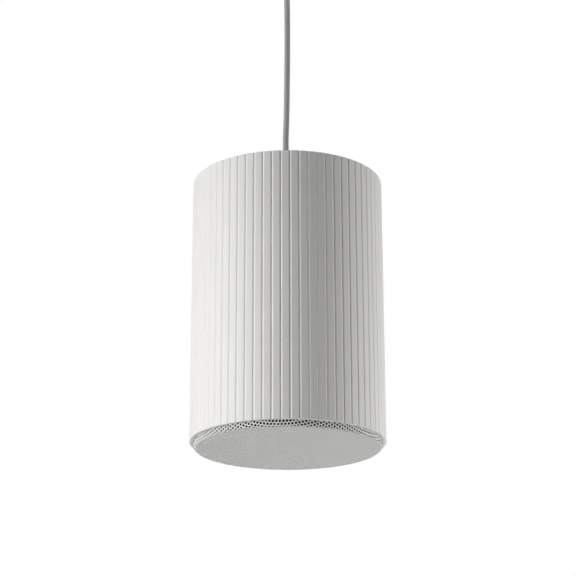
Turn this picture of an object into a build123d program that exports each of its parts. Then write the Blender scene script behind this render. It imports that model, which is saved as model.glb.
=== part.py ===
from build123d import *
import math
import os

# A round pendant loudspeaker: a fluted tube hung on its cable, with a perforated dish below.
# Millimetres and degrees. The origin is on the ceiling, over the cable, and +Z points up.

# Hanging
cable_diameter = 6.4
cable_free_length = 210.0
cable_play = 0.2            # gap between the cable's jacket and a bore that it passes

# Ceiling fitting
cup_diameter = 70.0
cup_height = 40.0
cup_wall = 1.0
cup_corner = 6.0
bracket_width = 20.0
bracket_sheet = 2.0
fixing_spacing = 50.0
fixing_hole = 4.5
ear_width = 10.0
ear_drop = 14.0
ear_gap = 0.3               # to the cup
ear_screw_depth = 9.0
cup_screw_reach = 7.0
grip_height = 16.0
grip_diameter = 14.0
grip_neck_diameter = 10.0
grip_neck_length = 6.0
grip_nut_height = 4.0
grip_nut_across = 14.0
connector_size = (22.0, 12.0, 14.0)

# Cabinet
body_diameter = 200.0       # across two opposite planks
body_length = 280.0
plank_count = 68
groove_width = 2.0
groove_depth = 1.0
groove_start = 1.5          # first groove, measured round from the front
shell_wall = 3.7
rim_bevel = 0.3
channel_radius = 5.0
channel_from_bore = 8.0     # bore to a channel's axis
channel_web = 6.0
channel_count = 4
pilot_hole = 3.2

# Lid
cap_recess = 3.0
cap_thickness = 3.0
seal_thickness = 1.0
fit_gap = 0.3               # round a disc that drops into the bore
boss_length = 8.0
boss_diameter = 6.0
boss_pilot = 2.6

# Cable gland
gland_thread = 16.0
gland_thread_length = 10.0
gland_across = 19.0
gland_flange = 6.0
gland_collar_diameter = 13.0
gland_collar_length = 7.7
gland_nut_height = 15.8
gland_nut_roof = 4.0
gland_nut_taper = 6.0
locknut_across = 22.0
locknut_height = 5.0
thread_gap = 0.1

# Cord clamp
bridge_depth = 26.0
bridge_width = 40.0
bridge_thickness = 8.0
bridge_window = (28.0, 8.0)
clamp_size = (4.0, 28.0, 10.0)
clamp_level = 19.0          # below the lid
clamp_screw_spacing = 18.0

# Cable inside the cabinet
tail_below_cap = 34.0
core_diameter = 1.8
core_offset = 1.3

# Terminal block
block_size = (36.0, 12.0, 12.0)
block_x = -45.0
block_ways = 4
way_pitch = 8.0
block_screw_spacing = 16.0

# Line transformer
transformer_x = 38.0
core_size = (16.0, 48.0, 40.0)
core_window = (8.0, 24.0)
core_limb = 16.0
winding_depth = 30.0
winding_corner = 3.0
strap_sheet = 1.2
strap_width = 14.0
strap_foot = 10.0
lead_diameter = 1.6
lead_spacing = 4.0
lead_end = 9.0              # straight length at a wire's end
lead_sag = 12.0
lead_run = 30.0             # one stretch of a speaker lead

# Baffle and driver seat
baffle_recess = 12.0        # from the lower rim up to the baffle's face
baffle_thickness = 6.0
baffle_gasket_thickness = 1.0
baffle_gasket_width = 12.0
skirt_wall = 2.0
skirt_drop = 10.0
driver_gasket_thickness = 1.0

# Driver
driver_margin = 13.5        # bore to flange, room for the baffle's screws
flange_width = 11.5
flange_screw_inset = 5.0
driver_screw_count = 4
basket_sheet = 1.2
basket_ledge_height = 25.0  # spider ledge above the flange
basket_mouth_gap = 2.0      # cut-out to basket
basket_taper = 21.0         # narrowing from the mouth to the spider ledge
ledge_width = 4.0
basket_back_height = 42.0
basket_shoulder = 2.0       # narrowing from the ledge to the back plate
top_plate_inset = 10.3      # spider ledge to top plate
top_plate_thickness = 5.0
magnet_inset = 3.3          # spider ledge to magnet
magnet_thickness = 15.0
magnet_bore = 34.0
yoke_thickness = 5.0
pole_diameter = 25.0
coil_gap = 0.4              # coil to pole, and coil to top plate
former_thickness = 0.4
coil_thickness = 0.5
coil_height = 12.0
cone_thickness = 0.8
cone_bow = 2.5
neck_length = 2.0
seat_radius = 22.0          # where the dust cap is glued to the cone
seat_height = 15.0          # above the cone's edge
surround_width = 10.0
surround_height = 5.5
surround_thickness = 0.8
surround_land = 2.5
spider_thickness = 0.6
spider_roll = 1.5
spider_rolls = 5
spider_land = 4.0
dust_cap_rise = 6.0
dust_cap_thickness = 0.8
tag_spacing = 10.0
tag_reach = 10.0            # ledge to tags
tag_length = 6.0
tag_width = 4.0
tag_sheet = 0.8
board_thickness = 1.6
basket_window_angle = 62.0
basket_window_count = 4
basket_border = 4.0         # wall left above and below a window

# Grille
grille_sheet = 1.0
grille_protrusion = 6.4
grille_corner = 3.0
grille_gap = 0.3            # dish to bore, and dish to skirt
grille_top_gap = 1.0        # dish edge to baffle
hole_diameter = 2.0
hole_pitch = 3.5
hole_step = 4               # one hole in so many each way is cut here
hole_rings = 5
hole_turn = -4.5            # rows against the front
hole_shift = (1.6, 1.0)     # a hole beside the middle, along and across the rows
cloth_thickness = 0.8

# Damping lining
wadding_thickness = 12.0
wadding_low = 7.0           # above the baffle
wadding_headroom = 4.0      # below the transformer

# Screws: head diameter, head height, shank diameter
cap_screw = (6.5, 2.2, 3.0)
driver_screw = (7.0, 2.2, 3.5)
small_screw = (5.0, 1.8, 2.4)
cup_screw = (7.0, 2.5, 4.0)
screw_bite = 14.0           # shank length in a channel
small_bite = 6.0
hole_play = 0.2             # radial, round a screw's shank

# Derived radii
body_radius = body_diameter / 2
bore_radius = body_radius - shell_wall
channel_circle = bore_radius - channel_from_bore
cable_radius = cable_diameter / 2
cable_bore = cable_radius + cable_play
cup_radius = cup_diameter / 2
grille_radius = bore_radius - grille_gap
grille_inner = grille_radius - grille_sheet
skirt_radius = grille_inner - grille_gap
driver_radius = bore_radius - driver_margin
cutout_radius = driver_radius - flange_width
driver_screw_radius = driver_radius - flange_screw_inset
mouth_radius = cutout_radius - basket_mouth_gap
cone_edge_radius = cutout_radius - surround_width
ledge_radius = mouth_radius - basket_taper
back_radius = ledge_radius - ledge_width - basket_shoulder
magnet_radius = ledge_radius - magnet_inset
top_plate_radius = ledge_radius - top_plate_inset
pole_radius = pole_diameter / 2
former_radius = pole_radius + coil_gap
former_outer = former_radius + former_thickness
coil_outer = former_outer + coil_thickness
plate_bore = coil_outer + coil_gap

# Derived heights
grip_mouth = -cup_height - grip_height
gland_mouth = grip_mouth - cable_free_length
gland_height = gland_flange + gland_nut_height
cap_top = gland_mouth - gland_height
cap_under = cap_top - cap_thickness
channel_top = cap_under - seal_thickness
top_rim = cap_top + cap_recess
low_rim = top_rim - body_length
baffle_low = low_rim + baffle_recess
baffle_top = baffle_low + baffle_thickness
channel_low = baffle_top + baffle_gasket_thickness
flange_top = baffle_low - driver_gasket_thickness
flange_low = flange_top - basket_sheet
ledge_low = flange_low + basket_ledge_height
back_low = flange_low + basket_back_height
plate_low = back_low + basket_sheet
magnet_low = plate_low + top_plate_thickness
yoke_low = magnet_low + magnet_thickness
seat_level = flange_low + seat_height
spider_low = ledge_low - spider_thickness - spider_roll
neck_low = spider_low - fit_gap - neck_length - cone_thickness
tail_end = cap_under - tail_below_cap
boss_end = cap_under - boss_length
grille_low = low_rim - grille_protrusion

UP = (Align.CENTER, Align.CENTER, Align.MIN)


def disc(radius, low, high):
    return Pos(0, 0, low) * Cylinder(radius, high - low, align=UP)


def ring(outer, inner, low, high):
    return disc(outer, low, high) - disc(inner, low, high)


def block(x, y, z):
    """A box from its ranges along X, Y and Z."""
    middle = Pos((x[0] + x[1]) / 2, (y[0] + y[1]) / 2, (z[0] + z[1]) / 2)
    return middle * Box(x[1] - x[0], y[1] - y[0], z[1] - z[0])


def hexagon(across, low, high):
    outline = RegularPolygon(across / 2, 6, major_radius=False)
    return Pos(0, 0, low) * extrude(outline, high - low)


def turned(*points):
    """A body of revolution from its half section, as (radius, height) points."""
    return turned_face(Polyline([(r, 0, z) for r, z in points], close=True))


def turned_face(*lines):
    return revolve(make_face([edge for line in lines for edge in line.edges()]), Axis.Z)


def around(count, radius, first=45.0):
    """Places on a circle, each turned to face outwards."""
    return [Rot(0, 0, first + k * 360 / count) * Pos(radius, 0, 0) for k in range(count)]


def group(pieces):
    return Compound([solid for piece in pieces for solid in piece.solids()])


def screw(size, length):
    """A screw whose head's underside is at the origin, with its shank along -Z."""
    head, height, shank = size
    socket = hexagon(head * 0.45, height * 0.4, height)
    return disc(head / 2, 0, height) - socket + disc(shank / 2, -length, 0)


def shank_hole(size, depth):
    return disc(size[2] / 2 + hole_play, -depth, depth)


def bend_radii(points):
    radii = []
    for before, corner, after in zip(points, points[1:], points[2:]):
        arriving = Vector(*corner) - Vector(*before)
        leaving = Vector(*after) - Vector(*corner)
        half_turn = math.radians(arriving.get_angle(leaving)) / 2
        radii.append(0.45 * min(arriving.length, leaving.length) / math.tan(half_turn))
    return radii


def wire(points, diameter):
    path = FilletPolyline(*points, radius=bend_radii(points))
    return sweep(Plane(path @ 0, z_dir=path % 0) * Circle(diameter / 2), path=path)


# Ceiling fitting

def ceiling_bracket():
    reach = cup_radius - cup_wall - ear_gap - ear_width ** 2 / (8 * (cup_radius - cup_wall))
    strip = block((-reach, reach), (-bracket_width / 2, bracket_width / 2), (-bracket_sheet, 0))
    corner_cut = disc(cup_radius - cup_wall - ear_gap, -bracket_sheet, 0)
    plate = strip & corner_cut
    for side in (-1, 1):
        plate += block(
            sorted((side * reach, side * (reach - bracket_sheet))),
            (-ear_width / 2, ear_width / 2),
            (-ear_drop, 0),
        )
        plate -= Pos(side * fixing_spacing / 2, 0, 0) * disc(fixing_hole / 2, -bracket_sheet, 0)
        plate -= Pos(side * reach, 0, -ear_screw_depth) * Rot(0, side * 90, 0) * shank_hole(cup_screw, 8)
    return plate


def ceiling_cup():
    solid = turned((0, 0), (cup_radius, 0), (cup_radius, -cup_height), (0, -cup_height))
    solid = fillet(solid.edges().filter_by(GeomType.CIRCLE).group_by(Axis.Z)[0], cup_corner)
    inner_radius = cup_radius - cup_wall
    inner_low = -cup_height + cup_wall
    hollow = disc(inner_radius, inner_low, 1)
    hollow = fillet(hollow.edges().filter_by(GeomType.CIRCLE).group_by(Axis.Z)[0], cup_corner - cup_wall)
    cup = solid - hollow - disc(grip_neck_diameter / 2 + hole_play, -cup_height - 1, inner_low + 1)
    for side in (-1, 1):
        cup -= Pos(side * cup_radius, 0, -ear_screw_depth) * Rot(0, side * 90, 0) * shank_hole(cup_screw, 8)
    return cup


def cup_screws():
    return group(
        Pos(side * cup_radius, 0, -ear_screw_depth) * Rot(0, side * 90, 0) * screw(cup_screw, cup_screw_reach)
        for side in (-1, 1)
    )


def cord_grip():
    body = disc(grip_diameter / 2, grip_mouth, -cup_height)
    body = chamfer(body.edges().group_by(Axis.Z)[0], 1.0)
    neck = disc(grip_neck_diameter / 2, -cup_height, -cup_height + grip_neck_length)
    bore = disc(cable_bore, grip_mouth, -cup_height + grip_neck_length)
    return body + neck - bore - grip_screw_place() * shank_hole(small_screw, 8)


def grip_screw_place():
    level = -cup_height - grip_height / 2
    return Pos(0, -grip_diameter / 2, level) * Rot(90, 0, 0)


def grip_screw():
    length = grip_diameter / 2 - cable_radius
    plug = disc(small_screw[2] / 2, -length, 0)
    return grip_screw_place() * (plug - hexagon(1.3, -1.5, 0))


def grip_locknut():
    low = -cup_height + cup_wall
    nut = hexagon(grip_nut_across, low, low + grip_nut_height)
    return nut - disc(grip_neck_diameter / 2 + thread_gap, low, 0)


def supply_connector():
    x, y, z = connector_size
    return block((-x / 2, x / 2), (-y / 2, y / 2), (-bracket_sheet - z, -bracket_sheet))


# Cable

def cable_ceiling_end():
    return disc(cable_radius, grip_mouth, -bracket_sheet - connector_size[2])


def cable():
    return disc(cable_radius, gland_mouth, grip_mouth)


def cable_tail():
    return disc(cable_radius, tail_end, gland_mouth)


def cable_cores():
    starts = [(-1, 1), (1, 1), (-1, -1), (1, -1)]
    face = -block_size[1] / 2
    level = boss_end - block_size[2] / 2
    wires = []
    for way, (side_x, side_y) in enumerate(starts):
        x = way_x(way)
        start = (side_x * core_offset, side_y * core_offset, tail_end)
        route = [
            start,
            (start[0], start[1], tail_end - lead_end),
            (x / 2, face - lead_end, tail_end - lead_sag),
            (x, face - 2 * lead_end, (tail_end + level) / 2),
            (x, face - lead_end, level),
            (x, face, level),
        ]
        wires.append(wire(route, core_diameter))
    return group(wires)


# Lid and gland

def top_cap():
    cap = disc(bore_radius - fit_gap, cap_under, cap_top)
    cap = chamfer(cap.edges().group_by(Axis.Z)[-1], 0.5)
    cap -= disc(gland_thread / 2 + thread_gap, cap_under, cap_top)
    for place in around(channel_count, channel_circle):
        cap -= place * Pos(0, 0, cap_top) * shank_hole(cap_screw, cap_thickness)
    for x, y in boss_places():
        boss = disc(boss_diameter / 2, boss_end, cap_under) - disc(boss_pilot / 2, boss_end, cap_under)
        cap += Pos(x, y, 0) * boss
    return cap + clamp_bridge()


def boss_places():
    feet = strap_foot_spacing() / 2
    screws = block_screw_spacing / 2
    return [
        (transformer_x, -feet),
        (transformer_x, feet),
        (block_x - screws, 0),
        (block_x + screws, 0),
    ]


def clamp_bridge():
    near = -cable_radius - thread_gap
    bridge = block(
        (near - bridge_thickness, near),
        (-bridge_width / 2, bridge_width / 2),
        (cap_under - bridge_depth, cap_under),
    )
    width, height = bridge_window
    bridge -= block((near - bridge_thickness, near), (-width / 2, width / 2), (cap_under - height, cap_under))
    for place in clamp_screw_places():
        bridge -= place * disc(boss_pilot / 2, -clamp_screw_length(), 0)
    return bridge


def clamp_screw_places():
    x = cable_radius + thread_gap + clamp_size[0]
    side = clamp_screw_spacing / 2
    return [Pos(x, y, cap_under - clamp_level) * Rot(0, 90, 0) for y in (-side, side)]


def clamp_screw_length():
    return clamp_size[0] + cable_diameter + small_bite


def cord_clamp():
    near = cable_radius + thread_gap
    depth, width, height = clamp_size
    middle = cap_under - clamp_level
    bar = block((near, near + depth), (-width / 2, width / 2), (middle - height / 2, middle + height / 2))
    bar = chamfer(bar.edges().filter_by(Axis.Z).group_by(Axis.X)[-1], 1.5)
    for place in clamp_screw_places():
        bar -= place * shank_hole(small_screw, depth + 1)
    return bar


def clamp_screws():
    return group(place * screw(small_screw, clamp_screw_length()) for place in clamp_screw_places())


def cap_seal():
    seal = ring(bore_radius - fit_gap, channel_circle - channel_radius, channel_top, cap_under)
    for place in around(channel_count, channel_circle):
        seal -= place * Pos(0, 0, cap_under) * shank_hole(cap_screw, cap_thickness)
    return seal


def cap_screws():
    length = cap_thickness + seal_thickness + screw_bite
    places = around(channel_count, channel_circle)
    return group(place * Pos(0, 0, cap_top) * screw(cap_screw, length) for place in places)


def gland_body():
    low = cap_top - gland_thread_length
    body = hexagon(gland_across, cap_top, cap_top + gland_flange)
    body += disc(gland_thread / 2, low, cap_top)
    collar_top = cap_top + gland_flange + gland_collar_length
    body += disc(gland_collar_diameter / 2, cap_top + gland_flange, collar_top)
    return body - disc(cable_bore, low, collar_top)


def gland_seal():
    low = cap_top + gland_flange + gland_collar_length
    high = gland_mouth - gland_nut_roof
    return ring(gland_collar_diameter / 2, cable_radius + thread_gap / 2, low, high)


def gland_nut():
    low = cap_top + gland_flange
    nut = hexagon(gland_across, low, gland_mouth)
    wide, narrow = gland_across * 0.6, gland_across * 0.36
    shoulder = gland_mouth - gland_nut_taper
    dome = turned((0, low), (wide, low), (wide, shoulder), (narrow, gland_mouth), (0, gland_mouth))
    cavity = disc(gland_collar_diameter / 2 + thread_gap, low, gland_mouth - gland_nut_roof)
    return (nut & dome) - cavity - disc(cable_bore, low, gland_mouth)


def gland_locknut():
    low = cap_under - locknut_height
    return hexagon(locknut_across, low, cap_under) - disc(gland_thread / 2 + thread_gap, low, cap_under)


# Cabinet

def plank_outline():
    """The tube's outer section: flat planks with a V groove between neighbours."""
    pitch = 360 / plank_count
    corner = body_radius / math.cos(math.radians(pitch / 2))
    edge = body_radius * math.tan(math.radians(pitch / 2)) - groove_width / 2
    points = []
    for k in range(plank_count):
        groove = -90 + groove_start + k * pitch
        root = Vector(corner - groove_depth, 0).rotate(Axis.Z, groove)
        first = Vector(body_radius, -edge).rotate(Axis.Z, groove + pitch / 2)
        last = Vector(body_radius, edge).rotate(Axis.Z, groove + pitch / 2)
        points += [root, first, last]
    return make_face(Polyline(points, close=True))


def cabinet_shell():
    section = plank_outline() - Circle(bore_radius)
    tube = Pos(0, 0, low_rim) * extrude(section, body_length)
    far = body_radius + 1
    bevelled = turned(
        (0, low_rim),
        (body_radius - rim_bevel, low_rim),
        (far, low_rim + rim_bevel + 1),
        (far, top_rim - rim_bevel - 1),
        (body_radius - rim_bevel, top_rim),
        (0, top_rim),
    )
    shell = tube & bevelled
    for place in around(channel_count, channel_circle):
        boss = disc(channel_radius, channel_low, channel_top)
        web = block(
            (0, channel_from_bore + shell_wall / 2),
            (-channel_web / 2, channel_web / 2),
            (channel_low, channel_top),
        )
        shell += place * (boss + web)
        shell -= place * disc(pilot_hole / 2, channel_low, channel_top)
    return shell


def wadding():
    outer = channel_circle - channel_radius - fit_gap
    return ring(outer, outer - wadding_thickness, baffle_top + wadding_low, strap_low() - wadding_headroom)


# Terminal block and transformer

def way_x(way):
    return block_x + (way - (block_ways - 1) / 2) * way_pitch


def terminal_block():
    x, y, z = block_size
    body = block((block_x - x / 2, block_x + x / 2), (-y / 2, y / 2), (boss_end - z, boss_end))
    for way in range(block_ways):
        body -= Pos(way_x(way), 0, boss_end - z) * disc(1.8, 0, 4)
    for side in (-1, 1):
        body -= Pos(block_x + side * block_screw_spacing / 2, 0, boss_end) * shank_hole(small_screw, z)
    return body


def under_screws(places, level, length):
    return group(Pos(x, y, level) * Rot(180, 0, 0) * screw(small_screw, length) for x, y in places)


def terminal_screws():
    return under_screws(boss_places()[2:], boss_end - block_size[2], block_size[2] + small_bite)


def strap_foot_spacing():
    return core_size[1] + 2 * strap_sheet + strap_foot


def core_top():
    return cap_under - fit_gap


def transformer_core():
    x, y, z = core_size
    core = Pos(transformer_x, 0, core_top() - z / 2) * Box(x, y, z)
    window, height = core_window
    for side in (-1, 1):
        middle = side * (core_limb + window) / 2
        core -= Pos(transformer_x, middle, core_top() - z / 2) * Box(x, window, height)
    return core


def transformer_winding():
    window, height = core_window
    outer = core_limb + 2 * window - 2 * fit_gap
    bobbin = Box(winding_depth, outer, height - 2 * fit_gap)
    bobbin = fillet(bobbin.edges().filter_by(Axis.Z), winding_corner)
    limb = Box(core_size[0] + 2 * thread_gap, core_limb + 2 * thread_gap, height)
    return Pos(transformer_x, 0, core_top() - core_size[2] / 2) * (bobbin - limb)


def strap_low():
    return core_top() - core_size[2] - strap_sheet


def transformer_bracket():
    half = core_size[1] / 2 + thread_gap
    low = strap_low()
    outer = half + strap_sheet
    reach = outer + strap_foot
    width = (transformer_x - strap_width / 2, transformer_x + strap_width / 2)
    strap = block(width, (-outer, outer), (low, boss_end))
    strap -= block(width, (-half, half), (low + strap_sheet, boss_end))
    foot = (boss_end - strap_sheet, boss_end)
    strap += block(width, (-reach, -half), foot) + block(width, (half, reach), foot)
    for x, y in boss_places()[:2]:
        strap -= Pos(x, y, boss_end) * shank_hole(small_screw, strap_sheet)
    return strap


def transformer_screws():
    return under_screws(boss_places()[:2], boss_end - strap_sheet, strap_sheet + small_bite)


def winding_low():
    return core_top() - (core_size[2] + core_window[1]) / 2 + fit_gap


def transformer_leads():
    """Two wires from the winding, round the clamp bridge, to the terminal block."""
    face = transformer_x - winding_depth / 2
    level = boss_end - block_size[2] / 2
    sag = level - lead_sag
    wires = []
    for way in (1, 2):
        x = way_x(way)
        start_y = lead_spacing * (4 - way)
        swing = bridge_width / 2 + start_y
        route = [
            (face, start_y, level),
            (face - lead_end, start_y, level),
            (0, swing, sag),
            (x / 2, swing, sag),
            (x, block_size[1] / 2 + lead_end, level),
            (x, block_size[1] / 2, level),
        ]
        wires.append(wire(route, lead_diameter))
    return group(wires)


def tag_place(side):
    return side * tag_spacing / 2, ledge_radius + tag_reach


def tag_top():
    return ledge_low + basket_sheet + board_thickness + tag_length


def speaker_leads():
    """Two wires from the winding's lower side down to the driver's tags."""
    top = winding_low()
    start_x = transformer_x + (core_size[0] + winding_depth) / 4
    wires = []
    for side in (-1, 1):
        x, y = tag_place(side)
        start_y = side * lead_spacing
        route = [
            (start_x, start_y, top),
            (start_x, start_y, top - lead_run),
            (start_x / 2, y / 2, (top + tag_top()) / 2),
            (x, y, tag_top() + lead_run),
            (x, y, tag_top()),
        ]
        wires.append(wire(route, lead_diameter))
    return group(wires)


# Baffle

def baffle():
    plate = ring(bore_radius - fit_gap, cutout_radius, baffle_low, baffle_top)
    plate += ring(skirt_radius, skirt_radius - skirt_wall, baffle_low - skirt_drop, baffle_low)
    for place in around(channel_count, channel_circle):
        plate -= place * Pos(0, 0, baffle_low) * shank_hole(cap_screw, baffle_thickness)
    for place in around(driver_screw_count, driver_screw_radius, 0):
        plate -= place * disc(driver_screw[2] / 2 + thread_gap, baffle_low, baffle_top)
    return plate


def baffle_gasket():
    gasket = ring(bore_radius - fit_gap, bore_radius - fit_gap - baffle_gasket_width, baffle_top, channel_low)
    for place in around(channel_count, channel_circle):
        gasket -= place * Pos(0, 0, baffle_top) * shank_hole(cap_screw, baffle_gasket_thickness)
    return gasket


def baffle_screws():
    length = baffle_thickness + baffle_gasket_thickness + screw_bite
    places = around(channel_count, channel_circle)
    under = Rot(180, 0, 0)
    return group(place * Pos(0, 0, baffle_low) * under * screw(cap_screw, length) for place in places)


# Driver

def driver_gasket():
    gasket = ring(driver_radius, cutout_radius, flange_top, baffle_low)
    for place in around(driver_screw_count, driver_screw_radius, 0):
        gasket -= place * Pos(0, 0, flange_top) * shank_hole(driver_screw, driver_gasket_thickness)
    return gasket


def driver_screws():
    length = basket_sheet + driver_gasket_thickness + baffle_thickness
    places = around(driver_screw_count, driver_screw_radius, 0)
    under = Rot(180, 0, 0)
    return group(place * Pos(0, 0, flange_low) * under * screw(driver_screw, length) for place in places)


def basket():
    """The pressed frame: flange, sloped wall with windows, spider ledge and back plate."""
    sheet = basket_sheet
    mouth = mouth_radius
    ledge = ledge_radius
    back = back_radius
    frame = turned(
        (driver_radius, flange_low),
        (driver_radius, flange_top),
        (mouth, flange_top),
        (ledge + sheet, ledge_low + sheet),
        (back + basket_shoulder + sheet, ledge_low + sheet),
        (back, back_low + sheet),
        (plate_bore + 1, back_low + sheet),
        (plate_bore + 1, back_low),
        (back - sheet, back_low),
        (back + basket_shoulder, ledge_low),
        (ledge, ledge_low),
        (mouth - sheet, flange_low),
    )
    low = flange_top + basket_border
    high = ledge_low - basket_border
    reach = cutout_radius + basket_border
    half = math.radians(basket_window_angle / 2)
    wedge = Polyline(
        [(0, 0), (reach, -reach * math.tan(half)), (reach, reach * math.tan(half))],
        close=True,
    )
    window = Pos(0, 0, low) * extrude(make_face(wedge), high - low)
    for place in around(basket_window_count, 0):
        frame -= place * window
    for place in around(driver_screw_count, driver_screw_radius, 0):
        frame -= place * Pos(0, 0, flange_low) * shank_hole(driver_screw, basket_sheet)
    return frame


def top_plate():
    return ring(top_plate_radius, plate_bore, plate_low, magnet_low)


def magnet():
    piece = ring(magnet_radius, magnet_bore / 2, magnet_low, yoke_low)
    return chamfer(piece.edges().filter_by(GeomType.CIRCLE).sort_by(SortBy.RADIUS)[-2:], 1.0)


def yoke():
    back = disc(top_plate_radius, yoke_low, yoke_low + yoke_thickness)
    back = chamfer(back.edges().group_by(Axis.Z)[-1], 1.5)
    return back + disc(pole_radius, plate_low, yoke_low)


def driver_terminals():
    low = ledge_low + basket_sheet
    high = low + board_thickness
    inner = back_radius + basket_shoulder + basket_sheet + fit_gap
    half = tag_spacing
    board = block((-half, half), (inner, tag_place(1)[1] + tag_width), (low, high))
    board -= disc(inner, low, high)
    pieces = [board]
    for side in (-1, 1):
        x, y = tag_place(side)
        across = (x - tag_width / 2, x + tag_width / 2)
        pieces.append(block(across, (y - tag_sheet / 2, y + tag_sheet / 2), (high, tag_top())))
    return group(pieces)


def cone_front(rise):
    """The cone's section line, raised by a distance: bowed to the seat, then straight to the neck."""
    edge = (cone_edge_radius, 0, flange_low + rise)
    seat = (seat_radius, 0, seat_level + rise)
    neck = (former_outer, 0, neck_low + rise)
    middle = ((edge[0] + seat[0]) / 2, 0, (edge[2] + seat[2]) / 2 - cone_bow)
    return ThreePointArc(edge, middle, seat), Line(seat, neck), edge, neck


def cone():
    bow, slope, edge, neck = cone_front(0)
    back_bow, back_slope, back_edge, back_neck = cone_front(cone_thickness)
    skin = turned_face(bow, slope, Line(neck, back_neck), back_slope, back_bow, Line(back_edge, edge))
    return skin + ring(former_outer + cone_thickness, former_outer, neck_low, spider_low - fit_gap)


def surround():
    """A half roll, bonded under the cone's edge and under the flange."""
    inner = cone_edge_radius
    outer = inner + surround_width
    high = flange_low
    low = high - surround_thickness
    middle = (inner + outer) / 2
    fold = surround_height
    skin = surround_thickness
    lower = ThreePointArc((outer, 0, low), (middle, 0, high - fold), (inner, 0, low))
    upper = ThreePointArc((inner + skin, 0, high), (middle, 0, high - fold + skin), (outer - skin, 0, high))
    within = inner - surround_land
    beyond = outer + surround_land
    return turned_face(
        lower,
        Polyline([(inner, 0, low), (within, 0, low), (within, 0, high), (inner + skin, 0, high)]),
        upper,
        Polyline([(outer - skin, 0, high), (beyond, 0, high), (beyond, 0, low), (outer, 0, low)]),
    )


def spider():
    """A corrugated disc between the coil's former and the basket's ledge."""
    inner = former_outer
    outer = ledge_radius - fit_gap
    land = spider_land
    high = ledge_low
    roll = (outer - land - inner - land) / (2 * spider_rolls)
    top = [(inner, high), (inner + land, high)]
    for k in range(1, 2 * spider_rolls):
        top.append((inner + land + k * roll, high - (spider_roll if k % 2 else 0)))
    top += [(outer - land, high), (outer, high)]
    under = [(r, z - spider_thickness) for r, z in reversed(top)]
    return turned(*top, *under)


def voice_coil():
    middle = plate_low + top_plate_thickness / 2
    high = middle + coil_height / 2
    former = ring(former_outer, former_radius, neck_low, high)
    return former + ring(coil_outer, former_outer, middle - coil_height / 2, high)


def dust_cap():
    """A dome glued to the cone's front, bulging downwards."""
    high = seat_level - thread_gap
    radius = (seat_radius ** 2 + dust_cap_rise ** 2) / (2 * dust_cap_rise)
    centre = Pos(0, 0, high - dust_cap_rise + radius)
    dome = centre * Sphere(radius) - centre * Sphere(radius - dust_cap_thickness)
    return dome & disc(radius, high - 2 * dust_cap_rise, high)


# Grille

def grille_dish():
    """One pressed sheet: a flat face, a rounded corner and a wall that slides over the skirt."""
    outer, inner = grille_radius, grille_inner
    low = grille_low
    high = baffle_low - grille_top_gap
    corner, sheet = grille_corner, grille_sheet
    turn = math.sqrt(0.5)
    centre = (outer - corner, low + corner)
    bend = corner - sheet
    return turned_face(
        Line((0, 0, low), (centre[0], 0, low)),
        ThreePointArc(
            (centre[0], 0, low),
            (centre[0] + corner * turn, 0, centre[1] - corner * turn),
            (outer, 0, centre[1]),
        ),
        Polyline([(outer, 0, centre[1]), (outer, 0, high), (inner, 0, high), (inner, 0, centre[1])]),
        ThreePointArc(
            (inner, 0, centre[1]),
            (centre[0] + bend * turn, 0, centre[1] - bend * turn),
            (centre[0], 0, low + sheet),
        ),
        Polyline([(centre[0], 0, low + sheet), (0, 0, low + sheet), (0, 0, low)]),
    )


def hole_places():
    """Staggered places of the holes, ring by ring, at a step of the real pitch."""
    pitch = hole_pitch * hole_step
    places = []
    for row in range(-hole_rings, hole_rings + 1):
        count = 2 * hole_rings + 1 - abs(row)
        for k in range(count):
            along = (k - (count - 1) / 2) * pitch
            across = row * pitch * math.sin(math.radians(60))
            places.append(Vector(along + hole_shift[0], across + hole_shift[1]).rotate(Axis.Z, hole_turn))
    return places


def grille():
    holes = Sketch() + [Pos(place) * RegularPolygon(hole_diameter / 2, 8) for place in hole_places()]
    return grille_dish() - Pos(0, 0, grille_low) * extrude(holes, grille_sheet)


def grille_cloth():
    radius = grille_radius - grille_corner - fit_gap
    low = grille_low + grille_sheet
    return disc(radius, low, low + cloth_thickness)


PIECES = [
    ceiling_bracket, ceiling_cup, cup_screws, cord_grip, grip_screw, grip_locknut, supply_connector,
    cable_ceiling_end, cable, cable_tail, cable_cores,
    top_cap, cap_seal, cap_screws, gland_body, gland_seal, gland_nut, gland_locknut,
    cord_clamp, clamp_screws, cabinet_shell, wadding,
    terminal_block, terminal_screws, transformer_core, transformer_winding, transformer_bracket,
    transformer_screws, transformer_leads, speaker_leads,
    baffle, baffle_gasket, baffle_screws, driver_gasket, driver_screws,
    basket, top_plate, magnet, yoke, driver_terminals, spider, surround,
    voice_coil, cone, dust_cap, grille_cloth, grille,
]

os.makedirs("parts", exist_ok=True)
for make in PIECES:
    export_step(make(), f"parts/{make.__name__}.step")
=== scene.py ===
"""Dresses a pendant speaker: fluted white cabinet, perforated dish, hanging cable and ceiling cup."""

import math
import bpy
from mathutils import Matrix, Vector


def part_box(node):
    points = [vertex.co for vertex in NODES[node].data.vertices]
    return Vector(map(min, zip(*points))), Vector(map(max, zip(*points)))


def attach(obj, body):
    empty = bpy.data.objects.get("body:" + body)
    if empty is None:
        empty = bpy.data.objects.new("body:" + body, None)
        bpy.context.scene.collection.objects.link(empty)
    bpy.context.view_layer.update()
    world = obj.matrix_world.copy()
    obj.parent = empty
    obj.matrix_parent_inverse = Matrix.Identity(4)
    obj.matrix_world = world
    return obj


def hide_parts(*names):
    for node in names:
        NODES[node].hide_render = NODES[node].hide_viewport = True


bl_info = {
    "name": "Pendant speaker",
    "version": (1, 0, 0),
    "blender": (4, 5, 0),
    "location": "View3D > Sidebar > Pendant speaker",
    "description": "Models and finishes a pendant speaker around its fixed construction",
    "category": "Object",
}

import bmesh
import bpy
from mathutils import Matrix, Vector, noise

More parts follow.
